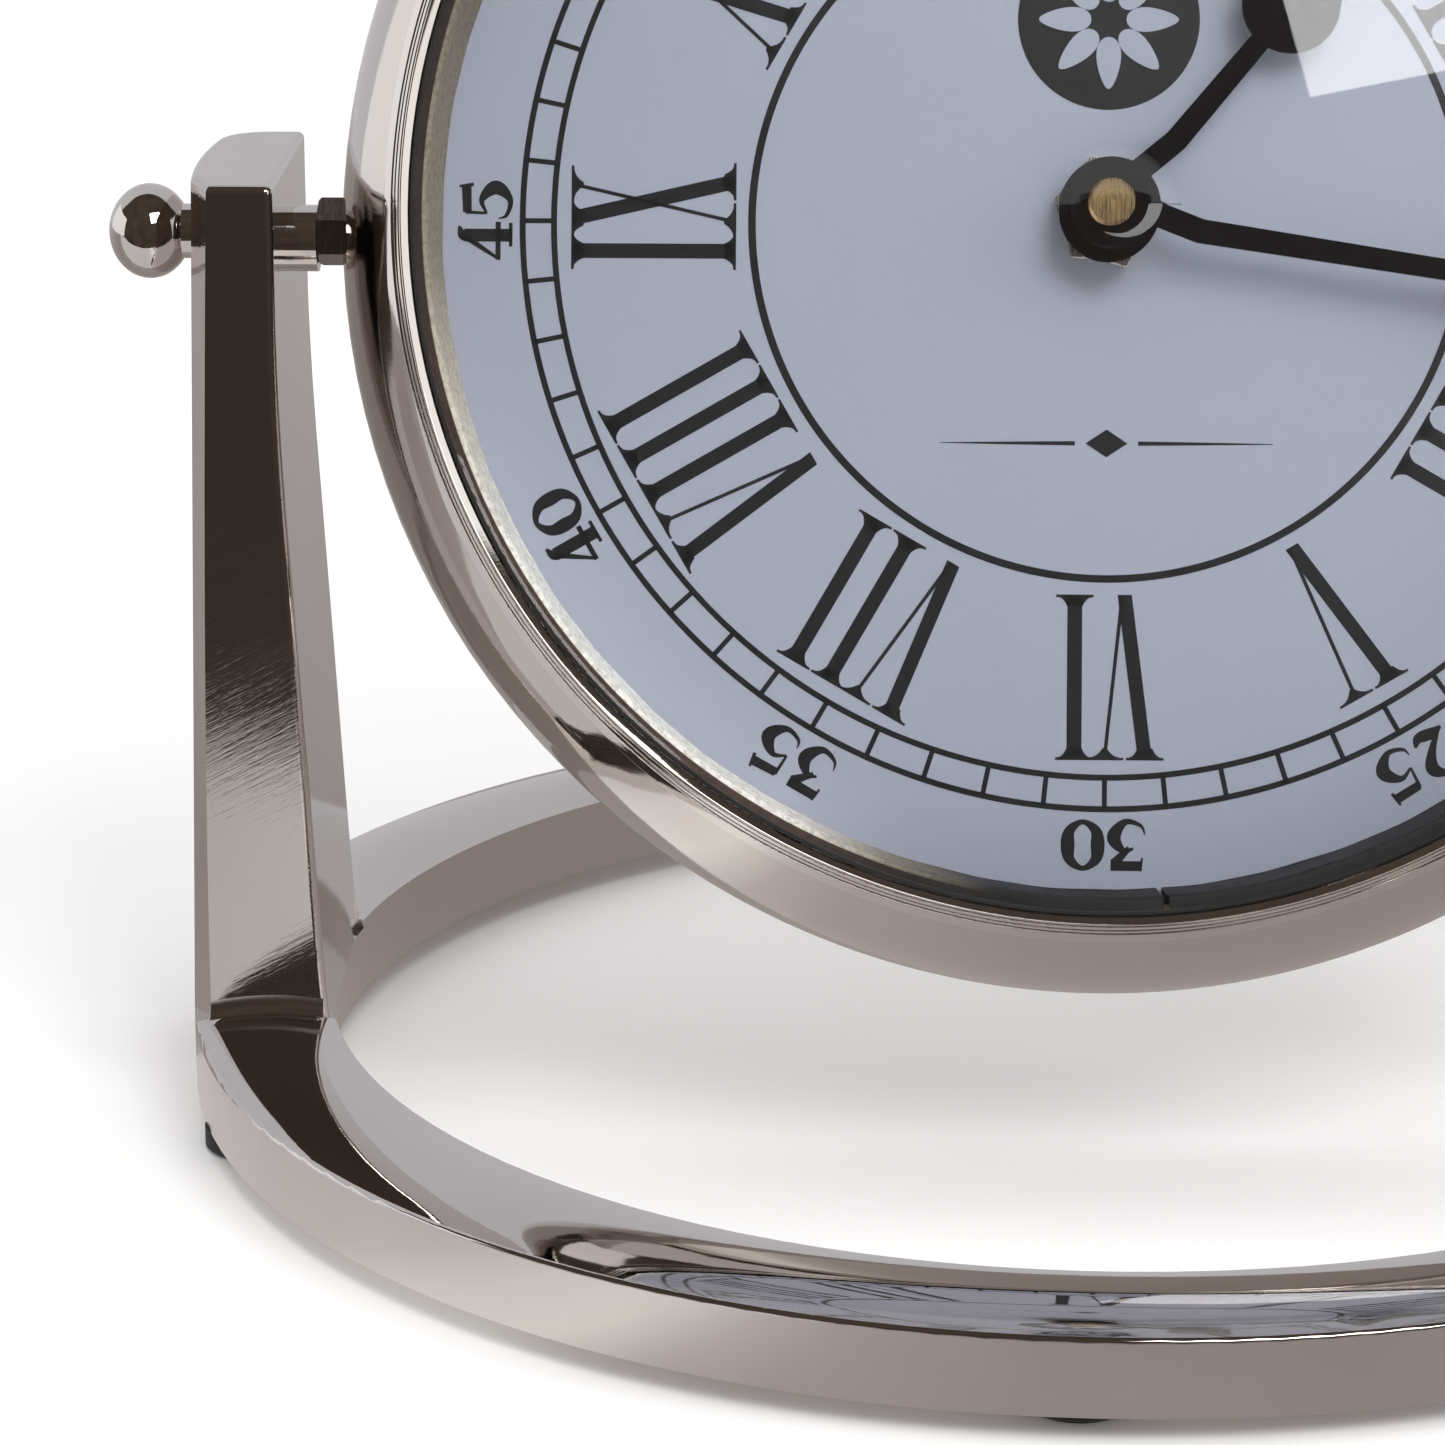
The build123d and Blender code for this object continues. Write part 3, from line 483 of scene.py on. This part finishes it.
finishes = {
    ring_nickel: ["base_ring"],
    upright_nickel: ["upright_left", "upright_right"],
    steel: [
        "upright_screws", "back_cover_screws", "battery_contact_positive", "battery_contact_negative",
        "stator", "coil_core", "pivot_stud_left", "pivot_stud_right",
    ],
    rubber: ["feet", "movement_cushion", "glass_gasket"],
    knob_nickel: ["pivot_knob_left", "pivot_knob_right", "pivot_spacer_left", "pivot_spacer_right"],
    nut_steel: [
        "pivot_jam_nut_left", "pivot_jam_nut_right", "pivot_inner_nut_left", "pivot_inner_nut_right",
        "pivot_washer_left", "pivot_washer_right",
    ],
    case_nickel: ["case_shell"],
    glass: ["glass"],
    dial_paint: ["dial"],
    cover_nickel: ["back_cover"],
    black_plastic: ["movement_case", "movement_plate"],
    hex_nickel: ["centre_nut"],
    battery_sleeve: ["battery"],
    board: ["circuit_board"],
    copper: ["coil"],
    magnet: ["rotor"],
    acetal: ["hour_wheel", "minute_wheel", "minute_shaft", "set_knob"],
    hand_paint: ["hour_hand", "minute_hand"],
    brass: ["hand_cap"],
}
for coat, names in finishes.items():
    for name in names:
        nodes[name].data.materials.clear()
        nodes[name].data.materials.append(coat)

# The hands are stamped and the nut is turned, so their edges are broken rather than sharp.
edge_mm = 0.12
for name in ("hour_hand", "minute_hand", "centre_nut"):
    weld = nodes[name].modifiers.new("weld", "WELD")
    weld.merge_threshold = 0.001 * MM
    edge = nodes[name].modifiers.new("edge", "BEVEL")
    edge.width = edge_mm * MM
    edge.segments = 3
    edge.limit_method = "ANGLE"
    edge.angle_limit = radians(40)

# ---- foot fillets: the metal left where each upright was brazed to the ring ---------------------------
fillet = 2.2 * MM
fillet_root = 0.6 * MM      # how far a fillet's underside goes into the ring
fillet_overlap = 0.3 * MM   # and its back into the upright
fillet_stations = 25
fillet_arc_steps = 8
foot_level = 20 * MM        # only the upright's foot is below this
above_ring = 30 * MM
ring_mesh = nodes["base_ring"].data
ring_tree = BVHTree.FromPolygons(
    [v.co for v in ring_mesh.vertices], [f.vertices for f in ring_mesh.polygons])


def ring_top(x, y):
    """Height of the ring's upper face under a point."""
    return ring_tree.ray_cast(Vector((x, y, above_ring)), Vector((0, 0, -1)))[0].z


fillet_mesh = bmesh.new()
for side in ("upright_left", "upright_right"):
    corners = [v.co for v in nodes[side].data.vertices]
    for way in (-1, 1):
        face = max(v.y * way for v in corners) * way
        foot = [v.x for v in corners if abs(v.y - face) < 0.05 * MM and v.z < foot_level]
        sections = []
        for i in range(fillet_stations):
            x = min(foot) + (max(foot) - min(foot)) * i / (fillet_stations - 1)
            base = ring_top(x, face + way * fillet)
            section = []
            for k in range(fillet_arc_steps + 1):
                turn = pi / 2 * k / fillet_arc_steps
                y = face + way * fillet * (1 - cos(turn))
                section.append(Vector((x, y, base + fillet * (1 - sin(turn)))))
            behind = face - way * fillet_overlap
            section.append(Vector((x, section[-1].y, base - fillet_root)))
            section.append(Vector((x, behind, base - fillet_root)))
            section.append(Vector((x, behind, section[0].z)))
            sections.append([fillet_mesh.verts.new(p) for p in section])
        for here, there in zip(sections, sections[1:]):
            for k in range(len(here)):
                n = (k + 1) % len(here)
                fillet_mesh.faces.new((here[k], here[n], there[n], there[k]))
        fillet_mesh.faces.new(sections[0][::-1])
        fillet_mesh.faces.new(sections[-1])
piece("foot_fillets", finished(fillet_mesh), "stand", ring_nickel)

# ---- bezel: a turned ring, a cone with three fine grooves up to a crest, then a slope in to the lip ----
bezel_outer = bezel_high.x / MM
bezel_back = bezel_low.z / MM
bezel_front = bezel_high.z / MM
bezel_inner = gasket_high.x / MM
gasket_inner = case_extent("glass")[1].x / MM
rise = bezel_front - bezel_back
crest = bezel_outer - 2.0
lip_inner = bezel_inner - 0.45
# The cone as (in from the outside, share of the rise, corner radius): each groove is a dip in the share.
cone = [
    (0.86, 0.5, 0.3), (0.98, 0.44, 0.02), (1.06, 0.57, 0.05), (1.26, 0.68, 0.1), (1.36, 0.63, 0.02),
    (1.42, 0.74, 0.05), (1.70, 0.88, 0.1), (1.79, 0.83, 0.02), (1.85, 0.94, 0.05),
]
bezel_corners = [
    (bezel_inner, bezel_back, 0), (bezel_outer - 0.02, bezel_back, 0.05),
    (bezel_outer, bezel_back + 0.1 * rise, 0.1),
    *[(bezel_outer - step, bezel_back + share * rise, radius) for step, share, radius in cone],
    (crest, bezel_front, 0.12), (lip_inner + 0.1, bezel_front - 0.55, 0.1),
    (lip_inner, bezel_front - 0.65, 0.05), (lip_inner, bezel_front - 1.1, 0.05),
    (bezel_inner, bezel_front - 1.1, 0),
]
piece(
    "bezel_rim", lathe(rounded(bezel_corners), case_space, 360), "case", bezel_nickel,
    ["bezel"])

# The gasket is pressed down between the bezel's lip and the glass, so only a thin dark line of it shows.
gasket_foot = gasket_low.z / MM
seal = rounded([
    (gasket_inner, gasket_foot, 0), (bezel_inner, gasket_foot, 0), (bezel_inner, bezel_front - 1.15, 0.1),
    (gasket_inner, bezel_front - 1.0, 0.1)])
piece("gasket_line", lathe(seal, case_space, 256), "case", rubber, ["glass_gasket"])

# ---- rehaut: the strip inside the glass, its ends meeting in a small gap -------------------------
strip_outer = dial_high.x / MM
strip_top = rehaut_high.z / MM
strip_bottom = rehaut_low.z / MM
strip_inner = strip_outer - 0.6
strip_taper = 0.8
split_angle = 175.3         # clockwise from twelve
split_gap = 0.5
strip_toe = strip_inner - strip_taper
strip_corners = [
    (strip_outer, strip_bottom, 0), (strip_outer, strip_top - 0.5, 0.1),
    (bezel_inner, strip_top - 0.5, 0.05), (bezel_inner, strip_top, 0.1), (strip_inner, strip_top, 0.2),
    (strip_inner - 0.25, strip_top - 0.9, 0.3), (strip_inner - 0.15, strip_top - 3.2, 0.6),
    (strip_toe, strip_bottom + 1.2, 0.5), (strip_toe - 0.15, strip_bottom + 0.5, 0.2),
    (strip_toe, strip_bottom, 0.1),
]


def uneven_strip(angle, r, z):
    """The strip was rolled by hand, so its inner face wanders by a few hundredths of a millimetre."""
    if r < strip_outer - 0.3:
        r += 0.045 * sin(23 * angle + 1.3 * z) + 0.03 * sin(57 * angle)
    return r, z


strip_start = split_angle + split_gap / 2
strip_end = split_angle - split_gap / 2 + 360
strip = lathe(rounded(strip_corners), case_space, 720, strip_start, strip_end, uneven_strip)
piece("rehaut_strip", strip, "case", rehaut_metal, ["reflector_ring"])

# ---- dial print -----------------------------------------------------------------------------------
print_thickness = 0.03
petal_thickness = 0.01
print_low = dial_high.z / MM
print_high = print_low + print_thickness
track_outer = 67.0
track_inner = 63.4
chapter_radius = 40.7
roman_foot, roman_top = 42.5, 61.4
minute_numeral_middle = 71.1
minute_numeral_height = 5.9
track_line, chapter_line, minute_line = 0.69, 0.87, 0.58
ink_mesh = bmesh.new()


def ring_line(radius, width):
    """A printed circle round the middle of the dial."""
    circle = [(radius * sin(2 * pi * i / 48), radius * cos(2 * pi * i / 48), width) for i in range(48)]
    ribbon(ink_mesh, circle, print_low, print_high, lambda x, y: (x, y), closed=True, steps=5)


def around(angle, radius):
    """A place function for what is printed at a clock angle, its foot towards the middle of the dial."""
    c, s = cos(radians(angle)), sin(radians(angle))
    return lambda x, y: (x * c + (radius + y) * s, -x * s + (radius + y) * c)


ring_line(track_outer, track_line)
ring_line(track_inner, track_line)
ring_line(chapter_radius, chapter_line)
for minute in range(60):
    ribbon(
        ink_mesh, [(0, track_inner, minute_line), (0, track_outer, minute_line)], print_low, print_high,
        around(6.0 * minute, 0))

roman_height = roman_top - roman_foot
stem, hairline = 1.7, 0.42
serif_reach, serif_height = 2.15, 0.5
serif_overlap = 0.2         # how far a stroke's end is hidden in its serif
advance = {"I": 4.55, "V": 7.0, "X": 6.8}


def printed(outline, place):
    """Prints a flat shape, placed on the dial."""
    flat = [place(x, y) for x, y in outline]
    slab(ink_mesh, flat, print_low, print_high, case_space)


def slanted(x0, y0, x1, y1, width, place):
    """A stroke between two serifs, its ends cut flat."""
    half = width / 2 * hypot(x1 - x0, y1 - y0) / abs(y1 - y0)
    printed([(x0 - half, y0), (x0 + half, y0), (x1 + half, y1), (x1 - half, y1)], place)


def serif(x, y, way, half_stem, place):
    """A flat serif with curved brackets: way is 1 at the top of a numeral and -1 at its foot."""
    bracket = 0.55
    outline = [(x - serif_reach, y), (x + serif_reach, y), (x + serif_reach, y - way * serif_height * 0.55)]
    for side in (1, -1):
        curve = []
        for k in range(6):
            t = k / 5
            across = serif_reach - 0.1 - (serif_reach - 0.1 - half_stem) * t
            drop = serif_height * 0.6 + bracket * 2.0 * t ** 2.6
            curve.append((x + side * across, y - way * drop))
        outline += curve if side == 1 else curve[::-1]
    outline.append((x - serif_reach, y - way * serif_height * 0.55))
    if way < 0:
        outline = outline[::-1]
    printed(outline, place)


def roman(text, angle):
    """An hour numeral at a clock angle, its foot towards the middle of the dial."""
    head, foot = roman_height - serif_overlap, serif_overlap
    total = sum(advance[c] for c in text)
    place = around(angle, roman_foot)
    x = -total / 2
    for letter in text:
        middle = x + advance[letter] / 2
        x += advance[letter]
        if letter == "I":
            slanted(middle, foot, middle, head, stem, place)
            serif(middle, roman_height, 1, stem / 2, place)
            serif(middle, 0, -1, stem / 2, place)
        elif letter == "V":
            slanted(middle - 2.3, head, middle + 0.1, 0, stem * 0.95, place)
            slanted(middle + 2.3, head, middle + 0.35, 0, hairline, place)
            serif(middle - 2.3, roman_height, 1, stem / 2, place)
            serif(middle + 2.3, roman_height, 1, hairline / 2, place)
        else:
            slanted(middle - 1.95, head, middle + 2.3, foot, stem, place)
            slanted(middle + 1.95, head, middle - 2.3, foot, hairline, place)
            serif(middle - 1.95, roman_height, 1, stem / 2, place)
            serif(middle + 1.95, roman_height, 1, hairline / 2, place)
            serif(middle - 2.3, 0, -1, hairline / 2, place)
            serif(middle + 2.3, 0, -1, stem / 2, place)


for hour, text in enumerate("XII I II III IIII V VI VII VIII IX X XI".split()):
    roman(text, 30.0 * hour)

# Each figure is a few pen strokes of (x, y, width) in a box one unit high; True closes a stroke.
figures = {
    "0": [([(0.37, 0.95, 0.1), (0.62, 0.78, 0.2), (0.66, 0.5, 0.27), (0.62, 0.22, 0.2), (0.37, 0.05, 0.1),
            (0.12, 0.22, 0.2), (0.08, 0.5, 0.27), (0.12, 0.78, 0.2)], True)],
    "1": [([(0.36, 0.0, 0.26), (0.36, 1.0, 0.26)], False),
          ([(0.1, 0.035, 0.07), (0.62, 0.035, 0.07)], False),
          ([(0.4, 0.96, 0.1), (0.08, 0.82, 0.07)], False)],
    "2": [([(0.1, 0.62, 0.05), (0.12, 0.82, 0.2), (0.34, 0.93, 0.12), (0.56, 0.74, 0.27), (0.42, 0.44, 0.16),
            (0.05, 0.06, 0.06)], False),
          ([(0.03, 0.09, 0.05), (0.25, 0.12, 0.22), (0.52, 0.09, 0.2), (0.66, 0.22, 0.05)], False)],
    "3": [([(0.06, 0.9, 0.19), (0.66, 0.9, 0.19)], False), ([(0.09, 1.0, 0.06), (0.05, 0.74, 0.04)], False),
          ([(0.6, 0.86, 0.2), (0.3, 0.55, 0.1)], False),
          ([(0.22, 0.56, 0.05), (0.42, 0.6, 0.12), (0.6, 0.34, 0.27), (0.38, 0.05, 0.13), (0.08, 0.12, 0.07),
            (0.0, 0.3, 0.02)], False)],
    "4": [([(0.5, 0.0, 0.25), (0.5, 0.94, 0.25)], False),
          ([(0.28, 0.035, 0.07), (0.74, 0.035, 0.07)], False),
          ([(0.02, 0.28, 0.1), (0.76, 0.28, 0.1)], False),
          ([(0.48, 0.93, 0.12), (0.04, 0.27, 0.06)], False),
          ([(0.38, 0.88, 0.04), (0.5, 0.98, 0.16), (0.68, 1.04, 0.05)], False)],
    "5": [([(0.12, 0.88, 0.17), (0.62, 0.9, 0.19)], False),
          ([(0.62, 1.04, 0.05), (0.66, 0.76, 0.07)], False),
          ([(0.12, 0.92, 0.07), (0.1, 0.5, 0.05)], False),
          ([(0.1, 0.5, 0.04), (0.36, 0.6, 0.12), (0.6, 0.33, 0.28), (0.36, 0.05, 0.12), (0.06, 0.12, 0.07),
            (0.0, 0.28, 0.02)], False)],
    "6": [([(0.38, 0.57, 0.09), (0.6, 0.45, 0.2), (0.64, 0.3, 0.26), (0.58, 0.13, 0.18), (0.38, 0.05, 0.09),
            (0.14, 0.15, 0.2), (0.1, 0.31, 0.25), (0.17, 0.48, 0.16)], True),
          ([(0.12, 0.3, 0.2), (0.16, 0.62, 0.24), (0.34, 0.86, 0.14), (0.64, 0.98, 0.04)], False)],
}
figure_advance, figure_width = 0.83, 0.74
for number in range(5, 61, 5):
    text = str(number)
    scale = minute_numeral_height
    foot = around(6.0 * number, minute_numeral_middle - scale / 2)
    for i, character in enumerate(text):
        start = (i - len(text) / 2) * figure_advance + (figure_advance - figure_width) / 2
        for points, closed in figures[character]:
            ribbon(
                ink_mesh, [((x + start) * scale, y * scale, w * scale) for x, y, w in points],
                print_low, print_high, foot, closed=closed)

# A plain rosette on a disc above the middle, and a small lozenge between two tapering lines below it.
badge_up, badge_radius, petal_count = 23.4, 10.4, 8
line_down, line_reach = -25.2, 19.0
disc = []
for i in range(96):
    turn = 2 * pi * i / 96
    disc.append((badge_radius * sin(turn), badge_up + badge_radius * cos(turn)))
slab(ink_mesh, disc, print_low, print_high, case_space)
lozenge = [(0, line_down + 1.6), (2.4, line_down), (0, line_down - 1.6), (-2.4, line_down)]
slab(ink_mesh, lozenge, print_low, print_high, case_space)
for side in (-1, 1):
    taper = [
        (side * 3.6, line_down, 0.5), (side * 10.0, line_down, 0.35), (side * line_reach, line_down, 0.08)]
    ribbon(ink_mesh, taper, print_low, print_high, lambda x, y: (x, y))
piece("dial_print", finished(ink_mesh), "case", ink)

petal_mesh = bmesh.new()
for i in range(petal_count):
    turned = around(360.0 * i / petal_count, 0)
    outline = []
    for k in range(24):
        t = 2 * pi * k / 24
        x, y = turned(1.35 * sin(t) * (1 - 0.35 * cos(t)), 5.0 + 3.0 * cos(t))
        outline.append((x, y + badge_up))
    slab(petal_mesh, outline[::-1], print_high, print_high + petal_thickness, case_space)
piece("dial_rosette", finished(petal_mesh), "case", dial_paint)


# ---- studio ---------------------------------------------------------------------------------------------
def floor_material():
    """Matt white board, faintly mottled."""
    made, tree, out = material("white_floor_board")
    where = add(tree, "TexCoord").outputs["Object"]
    mottle = add(tree, "TexNoise", {"Vector": where, "Scale": 12.0, "Detail": 2.0})
    tint = add(tree, "MixRGB", {
        "Fac": mottle.outputs["Fac"], "Color1": linear("#fbfbfa"), "Color2": linear("#f8f7f7"),
    })
    shader = add(tree, "BsdfPrincipled", {"Base Color": tint.outputs["Color"], "Roughness": 0.9})
    tree.links.new(shader.outputs["BSDF"], out.inputs["Surface"])
    return made


def board_mesh(name, corners, coat):
    """One flat board with the given corners, in metres."""
    mesh = bpy.data.meshes.new(name)
    mesh.from_pydata(corners, [], [(0, 1, 2, 3)])
    mesh.materials.append(coat)
    made = bpy.data.objects.new(name, mesh)
    scene.collection.objects.link(made)
    return made


half = 6.0
floor = board_mesh(
    "floor", [(-half, -half, 0), (half, -half, 0), (half, half, 0), (-half, half, 0)], floor_material())
floor.visible_glossy = False


def card(name, corners, axis, shades, strength=1.0):
    """A board that only mirrors see, its glow running through (metres, sRGB code) shades along an axis."""
    made, tree, out = material(name)
    where = add(tree, "TexCoord").outputs["Object"]
    place = add(tree, "SeparateXYZ", {"Vector": where}).outputs[axis]
    colour = ramp_of(tree, place, shades[0][0], shades[-1][0], shades)
    glow = add(tree, "Emission", {"Color": colour, "Strength": strength})
    tree.links.new(glow.outputs["Emission"], out.inputs["Surface"])
    shown = board_mesh(name, corners, made)
    for kind in ("camera", "diffuse", "transmission", "volume_scatter", "shadow"):
        setattr(shown, "visible_" + kind, False)


def level(left, right, front, back):
    """Corners of a board lying just above the floor."""
    return [(left, front, card_height), (right, front, card_height), (right, back, card_height),
            (left, back, card_height)]


card_height = 0.2 * MM
table_front, table_split, table_left, table_right, table_back = -0.165, 0.0, -1.4, 1.2, 1.0
# The mirrored table's glow is painted floor light and shadow: brighter to the left with a bright band,
# darker to the right, and darkest just behind the clock, where its shadow falls, lightening again further
# back.
card("mirrored_table", level(table_left, table_right, table_front, table_split), "X", [
    (-0.20, "#d6d2d3"), (-0.12, "#d2cdcd"), (-0.095, "#dcd7d7"), (-0.082, "#f6f2f0"), (-0.068, "#fffdf8"),
    (-0.055, "#d0cac8"), (-0.042, "#bcb4b2"), (-0.01, "#aca4a2"), (0.03, "#a89f9d")])
card("mirrored_table_behind", level(table_left, table_right, table_split, table_back), "Y", [
    (0.0, "#a8a09d"), (0.06, "#9a928f"), (0.16, "#a39d9c"), (0.9, "#c2bfc0")])
card("mirrored_backdrop", [
    (-2.2, 0.95, 0), (1.3, 0.95, 0), (1.3, 0.7, 1.9), (-2.2, 0.7, 1.9)], "X",
    [(-1.0, "#d0cfd4"), (1.0, "#c6c5c7")])
card("mirrored_left_wall", [
    (-1.1, -0.27, 0), (-1.1, 0.95, 0), (-1.1, 0.95, 0.55), (-1.1, -0.27, 0.55)], "Z",
    [(0.0, "#f6f5f7"), (0.55, "#fffefe")], 1.05)
card("mirrored_right_wall", [
    (0.62, -0.62, 0), (0.9, 0.1, 0), (0.9, 0.1, 0.75), (0.62, -0.62, 0.75)], "Z",
    [(0.0, "#f2efec"), (0.75, "#fffefc")], 1.2)


def lamp(name, place, aim, size, power, mirrored=True):
    """A softbox: its place and the point it faces in metres, its width and height, its power in watts."""
    data = bpy.data.lights.new(name, "AREA")
    data.shape = "RECTANGLE"
    data.size, data.size_y = size
    data.energy = power
    made = bpy.data.objects.new(name, data)
    made.location = place
    made.rotation_euler = (Vector(aim) - Vector(place)).to_track_quat("-Z", "Y").to_euler()
    made.visible_camera = False
    made.visible_glossy = mirrored
    scene.collection.objects.link(made)


lamp("key_softbox", (0.401, -0.750, 0.866), (0.03, -0.022, 0.13), (0.604, 0.509), 5.8)
lamp("right_strip", (1.0, -0.35, 0.45), (0, 0, 0.1), (0.25, 0.8), 2.5)
lamp("top_fill", (0.0, 0.3, 1.6), (0, 0, 0), (1.8, 1.4), 8, mirrored=False)

# The room is white paper to the eye and the floor, and a dim brown workshop in the metal.
world = bpy.data.worlds.new("studio")
scene.world = world
world.use_nodes = True
sky = world.node_tree
sky.nodes.clear()
way = add(sky, "TexCoord").outputs["Generated"]
murk = add(sky, "TexNoise", {"Vector": way, "Scale": 2.2, "Detail": 2.0})
room = add(sky, "MixRGB", {
    "Fac": murk.outputs["Fac"], "Color1": linear("#2a241f"), "Color2": linear("#5c5148"),
})
glow = add(sky, "Background", {"Color": room.outputs["Color"], "Strength": 1.0})
paper = add(sky, "Background", {"Color": linear("#ffffff"), "Strength": 0.78})
in_mirrors = add(sky, "LightPath").outputs["Is Glossy Ray"]
seen = add(sky, "MixShader", {
    "Fac": in_mirrors, 1: paper.outputs["Background"], 2: glow.outputs["Background"],
})
sky.links.new(seen.outputs["Shader"], add(sky, "OutputWorld").inputs["Surface"])

scene.view_settings.view_transform = "Standard"

# ---- camera ----------------------------------------------------------------------------------------------
camera_data = bpy.data.cameras.new("camera")
camera_data.lens = 124.33       # in millimetres, like the sensor
camera_data.sensor_width = 36.0
camera = bpy.data.objects.new("camera", camera_data)
camera.location = pivot + Vector((-0.030692, -0.575, 0.11501))
camera.rotation_euler = Vector((-0.02277064, 0.95650701, -0.29081927)).to_track_quat("-Z", "Y").to_euler()
scene.collection.objects.link(camera)
scene.camera = camera
